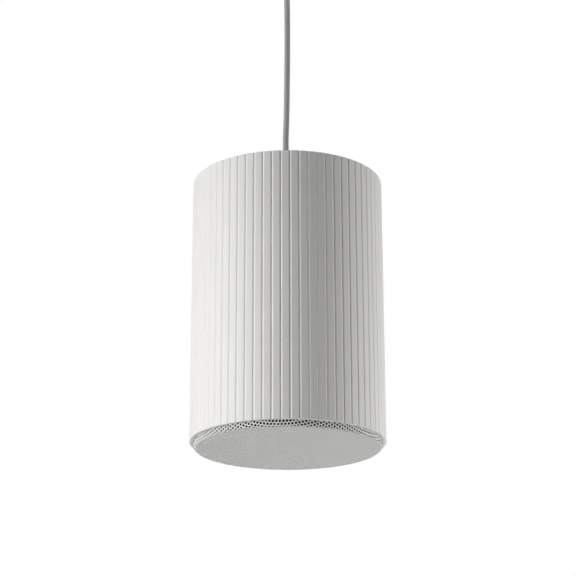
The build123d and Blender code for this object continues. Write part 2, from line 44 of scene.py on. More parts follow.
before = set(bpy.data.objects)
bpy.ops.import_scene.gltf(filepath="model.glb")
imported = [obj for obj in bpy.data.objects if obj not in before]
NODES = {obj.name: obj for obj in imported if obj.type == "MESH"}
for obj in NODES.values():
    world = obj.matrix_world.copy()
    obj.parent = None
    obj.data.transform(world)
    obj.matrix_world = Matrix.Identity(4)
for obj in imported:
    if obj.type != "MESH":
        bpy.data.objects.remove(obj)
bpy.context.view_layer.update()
HOUSING = "housing"

# What all the lengths in the panel share
LENGTH = {"subtype": "DISTANCE", "unit": "LENGTH", "precision": 5}


# Shader expressions

# A wave texture of scale 1 has this many bands in a length of 2 pi
WAVES_PER_TURN = 20

# Sockets of a Mix node that mixes colours, which share their titles with those of its other kinds
MIX_FACTOR = 0
MIX_FIRST = 6
MIX_SECOND = 7
MIX_RESULT = 2


class Signal:
    """A node's output that takes part in Python arithmetic."""

    def __init__(self, board, socket):
        self.board = board
        self.socket = socket

    def __add__(self, other):
        return self.board.math("ADD", self, other)

    def __radd__(self, other):
        return self.board.math("ADD", other, self)

    def __sub__(self, other):
        return self.board.math("SUBTRACT", self, other)

    def __rsub__(self, other):
        return self.board.math("SUBTRACT", other, self)

    def __mul__(self, other):
        return self.board.math("MULTIPLY", self, other)

    def __rmul__(self, other):
        return self.board.math("MULTIPLY", other, self)


class Board:
    """A material or world whose nodes are written as expressions."""

    def __init__(self, owner):
        owner.use_nodes = True
        self.owner = owner
        self.tree = owner.node_tree
        self.tree.nodes.clear()

    def node(self, kind, settings=None, inputs=None, output=0):
        """Adds a node: its settings first, then the values or links of its sockets."""
        item = self.tree.nodes.new(kind)
        for name, value in (settings or {}).items():
            setattr(item, name, value)
        for name, value in (inputs or {}).items():
            if isinstance(value, Signal):
                self.tree.links.new(value.socket, item.inputs[name])
            else:
                item.inputs[name].default_value = value
        if not item.outputs:
            return None
        return Signal(self, item.outputs[output])

    def math(self, operation, *values):
        """A Math node on these numbers and outputs."""
        return self.node("ShaderNodeMath", {"operation": operation}, dict(enumerate(values)))

    def place(self, scale=(1, 1, 1)):
        """Object coordinates in metres, stretched along each axis."""
        point = self.node("ShaderNodeTexCoord", output="Object")
        return self.node("ShaderNodeMapping", inputs={"Vector": point, "Scale": scale})

    def noise(self, size, detail=2.0, roughness=0.5, place=None):
        """Noise from 0 to 1 whose lumps are about this size in metres."""
        inputs = {
            "Vector": place or self.place(),
            "Scale": 1 / size,
            "Detail": detail,
            "Roughness": roughness,
        }
        return self.node("ShaderNodeTexNoise", inputs=inputs, output="Fac")

    def wave(self, period, direction, place=None, profile="SIN"):
        """Parallel bands of this period in metres, from 0 to 1."""
        settings = {"wave_type": "BANDS", "bands_direction": direction, "wave_profile": profile}
        scale = math.tau / WAVES_PER_TURN / period
        inputs = {"Vector": place or self.place(), "Scale": scale, "Distortion": 0.0}
        return self.node("ShaderNodeTexWave", settings, inputs, output="Fac")

    def shade(self, color, spread, amount):
        """The colour, lighter and darker by this spread where amount runs from 0 to 1."""
        low = tuple(channel * (1 - spread) for channel in color) + (1,)
        high = tuple(min(1.0, channel * (1 + spread)) for channel in color) + (1,)
        inputs = {MIX_FACTOR: amount, MIX_FIRST: low, MIX_SECOND: high}
        return self.node("ShaderNodeMix", {"data_type": "RGBA"}, inputs, output=MIX_RESULT)

    def bump(self, height, depth, normal=None):
        """Bumps of this depth in metres, over those of another bump."""
        inputs = {"Height": height, "Distance": depth, "Strength": 1.0}
        if normal:
            inputs["Normal"] = normal
        return self.node("ShaderNodeBump", inputs=inputs)


# Colours

PAINT = (0.808, 0.80, 0.782)
JACKET = (0.456, 0.449, 0.464)
LID_WHITE = (0.78, 0.78, 0.76)
GREY_PLASTIC = (0.55, 0.55, 0.56)
NYLON = (0.75, 0.74, 0.70)
CORE_WHITE = (0.70, 0.68, 0.62)
BLACK = (0.02, 0.02, 0.02)
RUBBER_BLACK = (0.028, 0.028, 0.028)
BASKET_BLACK = (0.03, 0.03, 0.03)
PULP_BLACK = (0.04, 0.04, 0.045)
FLEECE_BLACK = (0.012, 0.012, 0.012)
ZINC = (0.58, 0.58, 0.56)
FERRITE = (0.07, 0.07, 0.08)
LAMINATION = (0.16, 0.15, 0.14)
TAPE_YELLOW = (0.62, 0.45, 0.08)
SPIDER_TAN = (0.45, 0.28, 0.09)
COPPER = (0.72, 0.36, 0.18)
WOOL = (0.75, 0.75, 0.72)
WHITE = (1, 1, 1, 1)
FLOOR_WHITE = (0.75, 0.75, 0.75, 1)


# Finishes

# How far a plain finish's roughness varies from patch to patch
ROUGHNESS_SPREAD = 0.08


def new_board(name):
    """The nodes of a new material."""
    return Board(bpy.data.materials.new(name))


def close_material(board, inputs):
    """Adds the shader with these inputs and returns the material."""
    shader = board.node("ShaderNodeBsdfPrincipled", inputs=inputs)
    board.node("ShaderNodeOutputMaterial", inputs={"Surface": shader})
    return board.owner


def finish_material(name, color, spread, mottle, roughness, bump, **shader):
    """A plain finish: mottled colour, roughness that varies a little, and bumps.

    mottle is the size of the colour's patches. bump lists the bumps, from fine to coarse, as sizes
    and depths in metres. Further names are constants for the shader's own sockets.
    """
    board = new_board(name)
    patches = board.noise(mottle, detail=3.0)
    normal = None
    for size, depth in bump:
        normal = board.bump(board.noise(size, detail=1.5), depth, normal=normal)
    inputs = {
        "Base Color": board.shade(color, spread, patches),
        "Roughness": roughness + (patches - 0.5) * ROUGHNESS_SPREAD,
        "Normal": normal,
    }
    inputs.update({title.replace("_", " "): value for title, value in shader.items()})
    return close_material(board, inputs)


def powder_coat(name, color):
    """Satin powder coat with its fine orange peel."""
    return finish_material(
        name, color, spread=0.012, mottle=0.03, roughness=0.5,
        bump=[(0.0011, 0.00002), (0.0035, 0.00003)], Specular_IOR_Level=0.3,
    )


def moulded(name, color, roughness=0.5):
    """Moulded plastic with a fine spark-eroded texture."""
    return finish_material(
        name, color, spread=0.05, mottle=0.02, roughness=roughness, bump=[(0.0006, 0.00002)],
    )


def rubber(name):
    """Matt black rubber."""
    return finish_material(
        name, RUBBER_BLACK, spread=0.15, mottle=0.01, roughness=0.7, bump=[(0.0008, 0.00002)],
    )


def cable_jacket(name, color):
    """Smooth extruded jacket over twisted cores, which show as faint long swells."""
    board = new_board(name)
    swells = board.wave(0.045, "DIAGONAL", board.place(scale=(1.6, 1.6, 1.0)))
    drawn = board.noise(0.0012, detail=2.0, place=board.place(scale=(1, 1, 0.08)))
    scuffs = board.noise(0.012, detail=4.0, roughness=0.65)
    normal = board.bump(swells, 0.00012)
    normal = board.bump(drawn, 0.00003, normal=normal)
    inputs = {
        "Base Color": board.shade(color, 0.06, scuffs),
        "Roughness": 0.38 + scuffs * 0.16,
        "Specular IOR Level": 0.25,
        "Normal": normal,
    }
    return close_material(board, inputs)


def zinc_plate(name, color):
    """Zinc plated steel: soft spangle and drawn lines."""
    board = new_board(name)
    spangle = board.noise(0.004, detail=3.0, roughness=0.6)
    lines = board.noise(0.0005, detail=2.0, place=board.place(scale=(0.06, 1, 1)))
    inputs = {
        "Base Color": board.shade(color, 0.08, spangle),
        "Metallic": 1.0,
        "Roughness": 0.28 + spangle * 0.16,
        "Normal": board.bump(lines, 0.00001),
    }
    return close_material(board, inputs)


def laminated_steel(name, color):
    """A stack of varnished sheets, with its edges along the stack."""
    board = new_board(name)
    sheets = board.wave(0.0005, "X", profile="SAW")
    varnish = board.noise(0.003, detail=3.0)
    inputs = {
        "Base Color": board.shade(color, 0.35, varnish * 0.6 + sheets * 0.4),
        "Metallic": 0.6,
        "Roughness": 0.35 + varnish * 0.2,
        "Normal": board.bump(sheets, 0.00006),
    }
    return close_material(board, inputs)


def wound_tape(name, color):
    """Polyester tape over a winding."""
    board = new_board(name)
    turns = board.wave(0.0045, "Z", profile="SAW")
    wrinkles = board.noise(0.002, detail=3.0)
    normal = board.bump(turns, 0.0001)
    inputs = {
        "Base Color": board.shade(color, 0.12, wrinkles),
        "Roughness": 0.22 + wrinkles * 0.15,
        "Normal": board.bump(wrinkles, 0.00005, normal=normal),
    }
    return close_material(board, inputs)


def woven_cloth(name, color, pitch, depth):
    """A plain weave of this thread pitch."""
    board = new_board(name)
    weave = board.wave(pitch, "X") * board.wave(pitch, "Y")
    fluff = board.noise(pitch / 2, detail=3.0)
    inputs = {
        "Base Color": board.shade(color, 0.25, weave * 0.7 + fluff * 0.3),
        "Roughness": 0.85 + fluff * 0.1,
        "Normal": board.bump(weave + fluff * 0.4, depth),
    }
    return close_material(board, inputs)


def fibre_felt(name, color, size, depth):
    """Felted or pulped fibres of this size."""
    board = new_board(name)
    fibres = board.noise(size, detail=5.0, roughness=0.7)
    clumps = board.noise(size * 8, detail=3.0)
    inputs = {
        "Base Color": board.shade(color, 0.3, fibres * 0.6 + clumps * 0.4),
        "Roughness": 0.8 + fibres * 0.15,
        "Normal": board.bump(fibres + clumps, depth),
    }
    return close_material(board, inputs)


def wound_coil(name, color):
    """Copper wire wound on a former."""
    board = new_board(name)
    turns = board.wave(0.0003, "Z")
    inputs = {
        "Base Color": board.shade(color, 0.2, turns),
        "Metallic": 1.0,
        "Roughness": 0.3 + turns * 0.15,
        "Normal": board.bump(turns, 0.00005),
    }
    return close_material(board, inputs)


# Sizes and colours that a user may change

class CabinetSizes(bpy.types.PropertyGroup):
    """The fluted tube."""
    diameter: bpy.props.FloatProperty(
        name="Diameter", description="Across two opposite planks", default=0.2, **LENGTH)
    plank_count: bpy.props.IntProperty(
        name="Planks", description="Flat planks round the cabinet", default=68, min=12)
    groove_width: bpy.props.FloatProperty(
        name="Groove width", description="Mouth of a V groove between two planks",
        default=0.0022, **LENGTH)
    groove_depth: bpy.props.FloatProperty(
        name="Groove depth", description="Depth of a V groove", default=0.0008, **LENGTH)
    groove_start: bpy.props.FloatProperty(
        name="First groove", description="Turn of the first groove from the front", subtype="ANGLE",
        default=math.radians(1.5))
    edge_round: bpy.props.FloatProperty(
        name="Edge round", description="Rounding of a plank's long edges", default=0.0007, **LENGTH)
    rim_round: bpy.props.FloatProperty(
        name="Rim round", description="Rounding of the two rims", default=0.0003, **LENGTH)
    wall: bpy.props.FloatProperty(
        name="Wall", description="From a plank's face to the bore", default=0.0037, **LENGTH)
    paint: bpy.props.FloatVectorProperty(
        name="Paint", description="Colour of the powder coat", subtype="COLOR", size=3,
        min=0.0, max=1.0, default=PAINT)


class GrilleSizes(bpy.types.PropertyGroup):
    """The perforated dish."""
    hole: bpy.props.FloatProperty(
        name="Hole", description="Diameter of a hole where the sheet was drawn",
        default=0.0027, **LENGTH)
    flat_hole: bpy.props.FloatProperty(
        name="Flat hole", description="Diameter of a hole in the flat face", default=0.0021, **LENGTH)
    pitch: bpy.props.FloatProperty(
        name="Pitch", description="Distance between neighbouring holes", default=0.0035, **LENGTH)
    hole_sides: bpy.props.IntProperty(
        name="Hole sides", description="Edges of each round hole", default=10, min=6)
    sheet: bpy.props.FloatProperty(
        name="Sheet", description="Thickness of the steel", default=0.001, **LENGTH)
    corner: bpy.props.FloatProperty(
        name="Corner", description="Outer radius of the bend", default=0.003, **LENGTH)
    turn: bpy.props.FloatProperty(
        name="Turn", description="Turn of the rows of holes from the front", subtype="ANGLE",
        default=math.radians(-4.54))
    shift: bpy.props.FloatVectorProperty(
        name="Shift", description="Place of a hole beside the middle, along and across the rows",
        size=2, default=(0.00162, 0.00101), subtype="XYZ", unit="LENGTH", precision=5)
    paint: bpy.props.FloatVectorProperty(
        name="Paint", description="Colour of the powder coat", subtype="COLOR", size=3,
        min=0.0, max=1.0, default=PAINT)


class CableSizes(bpy.types.PropertyGroup):
    """The hanging cable."""
    diameter: bpy.props.FloatProperty(
        name="Diameter", description="Diameter of the jacket", default=0.0064, **LENGTH)
    jacket: bpy.props.FloatVectorProperty(
        name="Jacket", description="Colour of the jacket", subtype="COLOR", size=3,
        min=0.0, max=1.0, default=JACKET)


class StageSizes(bpy.types.PropertyGroup):
    """The lamps and the even light."""
    left_power: bpy.props.FloatProperty(
        name="Left lamp", description="Power of the main lamp, on the left",
        default=22.2, unit="POWER")
    middle_power: bpy.props.FloatProperty(
        name="Middle lamp", description="Power of the small lamp left of the camera",
        default=2.95, unit="POWER")
    right_power: bpy.props.FloatProperty(
        name="Right lamp", description="Power of the lamp on the right",
        default=10.0, unit="POWER")
    near_power: bpy.props.FloatProperty(
        name="Near lamp", description="Power of the small lamp on the right",
        default=4.15, unit="POWER")
    low_power: bpy.props.FloatProperty(
        name="Low lamp", description="Power of the lamp below the camera",
        default=3.7, unit="POWER")
    back_power: bpy.props.FloatProperty(
        name="Back lamp", description="Power of the lamp below and behind",
        default=2.5, unit="POWER")
    top_power: bpy.props.FloatProperty(
        name="Top lamp", description="Power of the lamp overhead",
        default=22.0, unit="POWER")
    ambient: bpy.props.FloatProperty(
        name="Ambient", description="Strength of the even light from all round",
        default=0.015, min=0.0)


# Modelling helpers

# Points closer than this are one point of a modelled outline, or of a CAD node's triangles
SAME_POINT = 0.00001
SAME_CAD_POINT = 0.000002

# Edges of a modelled piece that turn by less than this are shaded smooth
SMOOTH_ANGLE = math.radians(45)

# Where a CAD node is rounded, it is on the edges that turn by more than this
SHARP_ANGLE = math.radians(35)


def new_piece(name, data, material):
    """Puts a mesh or curve into the scene as a piece of the housing."""
    data.materials.append(material)
    piece = bpy.data.objects.new(name, data)
    bpy.context.scene.collection.objects.link(piece)
    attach(piece, HOUSING)
    return piece


def mesh_from(shape, name, smooth=False):
    """The finished shape as a mesh, which is shaded flat or smooth."""
    mesh = bpy.data.meshes.new(name)
    shape.to_mesh(mesh)
    shape.free()
    for polygon in mesh.polygons:
        polygon.use_smooth = smooth
    return mesh


def keep_sharp_edges(shape):
    """Keeps the sharp edges crisp in a piece that is shaded smooth."""
    for edge in shape.edges:
        edge.smooth = edge.calc_face_angle(math.pi) < SMOOTH_ANGLE


def repeat(shape, geometry, step, count):
    """Copies the geometry this many times, each one step further along."""
    bmesh.ops.spin(
        shape, geom=geometry, cent=(0, 0, 0), axis=(0, 0, 1), dvec=step, angle=0.0,
        steps=count, use_duplicate=True,
    )


def everything(shape):
    """The vertices, edges and faces of a shape."""
    return shape.verts[:] + shape.edges[:] + shape.faces[:]


def verts_in(geometry):
    """The vertices among what an operation returned."""
    return [item for item in geometry if isinstance(item, bmesh.types.BMVert)]


def extend(shape, edges, scale=1.0, rise=0.0):
    """Extrudes a loop of edges, scales it about the axis and lifts it. Returns the new loop."""
    grown = bmesh.ops.extrude_edge_only(shape, edges=edges)["geom"]
    verts = verts_in(grown)
    bmesh.ops.scale(shape, verts=verts, vec=(scale, scale, 1.0))
    bmesh.ops.translate(shape, verts=verts, vec=(0.0, 0.0, rise))
    return [item for item in grown if isinstance(item, bmesh.types.BMEdge)]


def set_radius(edges, radius):
    """Moves a loop of edges to this distance from the axis."""
    for vert in {vert for edge in edges for vert in edge.verts}:
        vert.co.xy = vert.co.xy.normalized() * radius


def paint_node(node, material):
    """Gives a CAD node its finish and returns its object."""
    piece = NODES[node]
    if not piece.material_slots:
        piece.data.materials.append(material)
    for holder in piece.material_slots:
        holder.link = "OBJECT"
        holder.material = material
    return piece


def soften_edges(piece, width):
    """Welds a CAD node's triangles, rounds its sharp edges and evens its shading, as modifiers."""
    weld = piece.modifiers.new("weld", "WELD")
    weld.merge_threshold = SAME_CAD_POINT
    bevel = piece.modifiers.new("edge", "BEVEL")
    bevel.width = width
    bevel.segments = 2
    bevel.limit_method = "ANGLE"
    bevel.angle_limit = SHARP_ANGLE
    fair = piece.modifiers.new("fair", "WEIGHTED_NORMAL")
    fair.mode = "FACE_AREA_WITH_ANGLE"
    fair.weight = 90
    fair.keep_sharp = True


# Cabinet

# Steps of a rim's quarter round
RIM_STEPS = 4

# A screw channel: a tube inside the bore, with a web that joins it to the wall. The turns are in
# degrees.
CHANNEL_INSET = 0.008
CHANNEL_RADIUS = 0.005
CHANNEL_BORE = 0.0016
CHANNEL_SEGMENTS = 24
CHANNEL_TURNS = (45, 135, 225, 315)
WEB_REACH = 0.0052
WEB_WIDTH = 0.006
WEB_MIDDLE = 0.0068


def plank_section(shape, sizes):
    """The outline of the tube as a closed loop of edges: planks with V grooves between them."""
    radius = sizes.diameter / 2
    pitch = math.tau / sizes.plank_count
    corner = radius / math.cos(pitch / 2)
    edge = radius * math.tan(pitch / 2) - sizes.groove_width / 2
    start = -math.pi / 2 + sizes.groove_start
    middle = Matrix.Rotation(start + pitch / 2, 3, "Z")
    root = Vector((corner - sizes.groove_depth, 0, 0))
    points = [
        Matrix.Rotation(start, 3, "Z") @ root,
        middle @ Vector((radius, -edge, 0)),
        middle @ Vector((radius, edge, 0)),
        Matrix.Rotation(start + pitch, 3, "Z") @ root,
    ]
    verts = [shape.verts.new(point) for point in points]
    for first, second in zip(verts, verts[1:]):
        shape.edges.new((first, second))
    bmesh.ops.bevel(
        shape, geom=verts[1:3], offset=sizes.edge_round, segments=2, profile=0.5, affect="VERTICES",
        material=-1,
    )
    others = sizes.plank_count - 1
    bmesh.ops.spin(
        shape, geom=everything(shape), cent=(0, 0, 0), axis=(0, 0, 1), dvec=(0, 0, 0),
        angle=pitch * others, steps=others, use_duplicate=True,
    )
    bmesh.ops.remove_doubles(shape, verts=shape.verts[:], dist=SAME_POINT)
    return shape.edges[:]


def rim_steps(radius):
    """Insets and heights of a quarter round, from its flat end to its upright end."""
    steps = []
    for k in range(RIM_STEPS + 1):
        turn = math.pi / 2 * k / RIM_STEPS
        steps.append((radius * (1 - math.sin(turn)), radius * (1 - math.cos(turn))))
    return steps


def build_cabinet(sizes):
    """The fluted tube, from its lower rim up the outside, over the upper rim and down the bore."""
    low, high = (corner.z for corner in map(Vector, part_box("cabinet_shell")))
    radius = sizes.diameter / 2
    bore = radius - sizes.wall
    shape = bmesh.new()
    first = loop = plank_section(shape, sizes)
    rounding = rim_steps(sizes.rim_round)
    inset, level = rounding[0]
    bmesh.ops.scale(shape, verts=shape.verts[:], vec=(1 - inset / radius, 1 - inset / radius, 1.0))
    path = rounding[1:] + [(step, high - low - rise) for step, rise in reversed(rounding)]
    for new_inset, new_level in path:
        scale = (radius - new_inset) / (radius - inset)
        loop = extend(shape, loop, scale, new_level - level)
        inset, level = new_inset, new_level
    loop = extend(shape, loop)
    set_radius(loop, bore)
    loop = extend(shape, loop, rise=low - high)
    bmesh.ops.bridge_loops(shape, edges=first + loop)
    bmesh.ops.translate(shape, verts=shape.verts[:], vec=(0, 0, low))
    bmesh.ops.recalc_face_normals(shape, faces=shape.faces[:])
    add_channels(shape, bore)
    mesh = mesh_from(shape, "fluted_shell")
    shell = new_piece("fluted_shell", mesh, powder_coat("white_coat", sizes.paint))
    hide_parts("cabinet_shell")


def add_channels(shape, bore):
    """The four screw channels along the bore, between the lid's seal and the baffle's gasket."""
    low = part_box("baffle_gasket")[1][2]
    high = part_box("cap_seal")[0][2]
    height = high - low
    stand = Matrix.Translation((bore - CHANNEL_INSET, 0, low))
    for degrees in CHANNEL_TURNS:
        outer, inner = (
            bmesh.ops.create_circle(shape, segments=CHANNEL_SEGMENTS, radius=radius)["verts"]
            for radius in (CHANNEL_RADIUS, CHANNEL_BORE)
        )
        edges = list({edge for vert in outer + inner for edge in vert.link_edges})
        ring = bmesh.ops.bridge_loops(shape, edges=edges)["faces"]
        top = verts_in(bmesh.ops.extrude_face_region(shape, geom=ring)["geom"])
        bmesh.ops.translate(shape, verts=top, vec=(0, 0, height))
        web = bmesh.ops.create_cube(shape, size=1.0)["verts"]
        bmesh.ops.scale(shape, verts=web, vec=(WEB_REACH, WEB_WIDTH, height))
        bmesh.ops.translate(shape, verts=web, vec=(WEB_MIDDLE, 0, height / 2))
        turn = Matrix.Rotation(math.radians(degrees), 4, "Z") @ stand
        bmesh.ops.transform(shape, matrix=turn, verts=outer + inner + top + web)
    bmesh.ops.recalc_face_normals(shape, faces=shape.faces[:])


# Grille

# From one row of holes to the next, in pitches
ROW_STEP = math.sin(math.radians(60))

# A vertex is on a hole's edge when it is at most this many radii from the middle
ON_HOLE = 1.01

# Neighbouring cells of the sheet meet within this share of the pitch
SAME_CORNER = 0.02


def size_holes(shape, sizes, cut_radius, flat_radius, set_out):
    """Narrows the flat face's holes, which were cut as wide as those of the drawn sheet.

    Over the flat face's last pitch they widen step by step.
    """
    pitch = sizes.pitch
    row = pitch * ROW_STEP
    for vert in shape.verts:
        line = round(vert.co.y / row)
        beside = line % 2 * pitch / 2
        middle = Vector((round((vert.co.x - beside) / pitch) * pitch + beside, line * row, 0))
        if (vert.co - middle).length < cut_radius * ON_HOLE:
            drawn = (set_out @ middle).length / pitch - flat_radius / pitch + 1
            share = min(max(drawn, 0.0), 1.0)
            width = sizes.flat_hole + (sizes.hole - sizes.flat_hole) * share
            vert.co = middle + (vert.co - middle) * width / sizes.hole


def perforated_blank(sizes, flat_radius, reach):
    """A flat sheet of six-sided cells with a hole in each, out to this reach."""
    pitch = sizes.pitch
    row = pitch * ROW_STEP
    shape = bmesh.new()
    bmesh.ops.create_circle(shape, segments=6, radius=pitch / math.sqrt(3))
    sides = sizes.hole_sides
    # A hole with this many sides is as open as a round one
    as_open = math.sqrt(math.tau / sides / math.sin(math.tau / sides))
    hole_radius = sizes.hole / 2 * as_open
    bmesh.ops.create_circle(shape, segments=sides, radius=hole_radius)
    bmesh.ops.bridge_loops(shape, edges=shape.edges[:])
    across = math.ceil(reach / pitch) + 1
    along = math.ceil(reach / row / 2) + 1
    repeat(shape, everything(shape), (pitch, 0, 0), 2 * across)
    second_row = bmesh.ops.duplicate(shape, geom=everything(shape))["geom"]
    bmesh.ops.translate(shape, verts=verts_in(second_row), vec=(pitch / 2, row, 0))
    repeat(shape, everything(shape), (0, 2 * row, 0), 2 * along)
    start = Vector((-across * pitch, -2 * along * row, 0)) + Vector((*sizes.shift, 0))
    set_out = Matrix.Rotation(sizes.turn, 4, "Z") @ Matrix.Translation(start)
    size_holes(shape, sizes, hole_radius, flat_radius, set_out)
    bmesh.ops.transform(shape, matrix=set_out, verts=shape.verts[:])
    bmesh.ops.remove_doubles(shape, verts=shape.verts[:], dist=pitch * SAME_CORNER)
    outside = [face for face in shape.faces if all(vert.co.length > reach for vert in face.verts)]
    bmesh.ops.delete(shape, geom=outside, context="FACES")
    return shape


def draw_dish(shape, flat_radius, corner, sheet):
    """Draws the blank into a dish: a flat face, a bend and an upright wall."""
    bend_length = math.pi / 2 * (corner - sheet / 2)
    for vert in shape.verts:
        reach = vert.co.xy.length
        if reach <= flat_radius:
            continue
        turn = min((reach - flat_radius) / bend_length, 1.0) * math.pi / 2
        radius = flat_radius + corner * math.sin(turn)
        height = corner * (1 - math.cos(turn)) + max(reach - flat_radius - bend_length, 0.0)
        vert.co.xy = vert.co.xy.normalized() * radius
        vert.co.z = height


def build_grille(sizes):
    """The perforated sheet, drawn into a dish, cut level and thickened."""
    low, high = (Vector(corner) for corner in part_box("grille"))
    radius = (high.x - low.x) / 2
    height = high.z - low.z
    flat_radius = radius - sizes.corner
    reach = flat_radius + math.pi / 2 * sizes.corner + height
    shape = perforated_blank(sizes, flat_radius, reach)
    draw_dish(shape, flat_radius, sizes.corner, sizes.sheet)
    bmesh.ops.bisect_plane(
        shape, geom=everything(shape), dist=SAME_POINT, plane_co=(0, 0, height),
        plane_no=(0, 0, 1), clear_outer=True,
    )
    bmesh.ops.recalc_face_normals(shape, faces=shape.faces[:])
    face = min(shape.faces, key=lambda item: item.calc_center_median().length)
    if face.normal.z > 0:
        bmesh.ops.reverse_faces(shape, faces=shape.faces[:])
    bmesh.ops.solidify(shape, geom=shape.faces[:], thickness=sizes.sheet)
    bmesh.ops.translate(shape, verts=shape.verts[:], vec=(0, 0, low.z))
    keep_sharp_edges(shape)
    mesh = mesh_from(shape, "perforated_dish", smooth=True)
    dish = new_piece("perforated_dish", mesh, powder_coat("grille_coat", sizes.paint))
    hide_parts("grille")


# Cable

# The cable's line: heights above the gland and steps to the side
CABLE_SET = (
    (0.000, 0.0),
    (0.022, -0.0023),
    (0.062, -0.0007),
    (0.115, 0.0),
    (0.170, 0.0004),
    (0.210, 0.0),
)


def build_cable(sizes):
    """The taut stretch, with the slight set that the cable keeps from its drum."""
    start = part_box("gland_nut")[1][2]
    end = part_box("cord_grip")[0][2]
    scale = (end - start) / CABLE_SET[-1][0]
    curve = bpy.data.curves.new("hanging_cable", "CURVE")
    curve.dimensions = "3D"
    curve.bevel_depth = sizes.diameter / 2
    curve.bevel_resolution = 8
    curve.resolution_u = 16
    curve.use_fill_caps = True
    spline = curve.splines.new("NURBS")
    spline.points.add(len(CABLE_SET) - 1)
    for point, (rise, side) in zip(spline.points, CABLE_SET):
        point.co = (side, 0.0, start + rise * scale, 1.0)
    spline.order_u = 3
    spline.use_endpoint_u = True
    cable = new_piece("hanging_cable", curve, cable_jacket("cable_grey", sizes.jacket))
    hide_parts("cable")


# Pieces kept from the construction

# Roundings of their edges. Soft pieces get none. Nor do nodes with holes beside their edges,
# because a bevel folds their thin triangles.
SMALL_SCREW_EDGE = 0.0001
SCREW_EDGE = 0.00012
CAP_SCREW_EDGE = 0.00015
CORE_EDGE = 0.0002
MOULDED_EDGE = 0.0003
PLATE_EDGE = 0.0003
GLAND_EDGE = 0.0004
SOFT_EDGE = 0.0004
LID_EDGE = 0.0005


def dress(names, material, edge=0.0):
    """Finishes these CAD nodes and rounds their sharp edges by this much, if at all."""
    for name in names:
        piece = paint_node(name, material)
        if edge:
            soften_edges(piece, edge)


def build_ceiling(cabinet):
    """The ceiling fitting, with its cup in the cabinet's colour."""
    dress(["ceiling_cup"], powder_coat("cup_coat", cabinet.paint))
    dress(["cord_grip", "grip_locknut"], moulded("grip_nylon", GREY_PLASTIC, 0.42))
    dress(["ceiling_bracket"], zinc_plate("bracket_zinc", ZINC))
    dress(["cup_screws", "grip_screw"], zinc_plate("ceiling_screw_zinc", ZINC), SCREW_EDGE)
    dress(["supply_connector"], moulded("connector_nylon", NYLON), MOULDED_EDGE)
    dress(["cable_ceiling_end"], cable_jacket("inner_cable_grey", JACKET))


def build_lid():
    """The moulded lid with its seal and screws."""
    dress(["top_cap"], moulded("lid_plastic", LID_WHITE, 0.48), LID_EDGE)
    dress(["cap_seal"], rubber("cap_rubber"))
    dress(["cap_screws"], zinc_plate("cap_screw_zinc", ZINC), CAP_SCREW_EDGE)


def build_gland():
    """The cable entry in the lid."""
    nylon = moulded("gland_nylon", GREY_PLASTIC, 0.38)
    dress(["gland_body", "gland_nut", "gland_locknut"], nylon, GLAND_EDGE)
    dress(["gland_seal"], rubber("gland_rubber"))


def build_supply():
    """The wiring, the clamp that carries the weight, the terminals and the transformer."""
    dress(["cable_tail"], cable_jacket("tail_grey", JACKET))
    cores = finish_material(
        "core_pvc", CORE_WHITE, spread=0.05, mottle=0.01, roughness=0.35, bump=[(0.002, 0.00003)],
    )
    dress(["cable_cores", "transformer_leads", "speaker_leads"], cores)
    dress(["cord_clamp", "transformer_bracket"], zinc_plate("strap_zinc", ZINC))
    screws = zinc_plate("small_screw_zinc", ZINC)
    dress(["clamp_screws", "terminal_screws", "transformer_screws"], screws, SMALL_SCREW_EDGE)
    dress(["terminal_block"], moulded("terminal_nylon", NYLON), MOULDED_EDGE)
    dress(["transformer_core"], laminated_steel("lamination_steel", LAMINATION), CORE_EDGE)
    dress(["transformer_winding"], wound_tape("winding_tape", TAPE_YELLOW), SOFT_EDGE)


def build_driver():
    """The loudspeaker and the plate that carries it."""
    dress(["baffle", "driver_terminals"], moulded("baffle_plastic", BLACK, 0.55))
    dress(["baffle_gasket", "driver_gasket"], rubber("driver_rubber"))
    dress(["baffle_screws", "driver_screws"], zinc_plate("driver_screw_zinc", ZINC), SCREW_EDGE)
    coat = finish_material(
        "basket_coat", BASKET_BLACK, spread=0.08, mottle=0.01, roughness=0.4, bump=[(0.0009, 0.00002)],
    )
    dress(["basket"], coat)
    dress(["top_plate", "yoke"], zinc_plate("magnet_zinc", ZINC), PLATE_EDGE)
    ferrite = finish_material(
        "ground_ferrite", FERRITE, spread=0.2, mottle=0.004, roughness=0.6, bump=[(0.0008, 0.00004)],
    )
    dress(["magnet"], ferrite, SOFT_EDGE)
    dress(["cone", "dust_cap"], fibre_felt("cone_pulp", PULP_BLACK, size=0.0008, depth=0.00006))
    dress(["surround"], rubber("surround_rubber"))
    dress(["spider"], woven_cloth("spider_cotton", SPIDER_TAN, pitch=0.0007, depth=0.00012))
    dress(["voice_coil"], wound_coil("coil_copper", COPPER))


# Wadding and cloth

RING_SEGMENTS = 96

WADDING_THICKNESS = 0.012
WADDING_ROWS = 24

# The wadding's lumps per metre, each layer's share and how far they push out and up
COARSE_LUMPS = 90
FINE_LUMPS = 240
LEVEL_LUMPS = 120
COARSE_SHARE = 0.6
FINE_SHARE = 0.4
LUMP_PUSH = 0.0018
LUMP_RISE = 0.0015


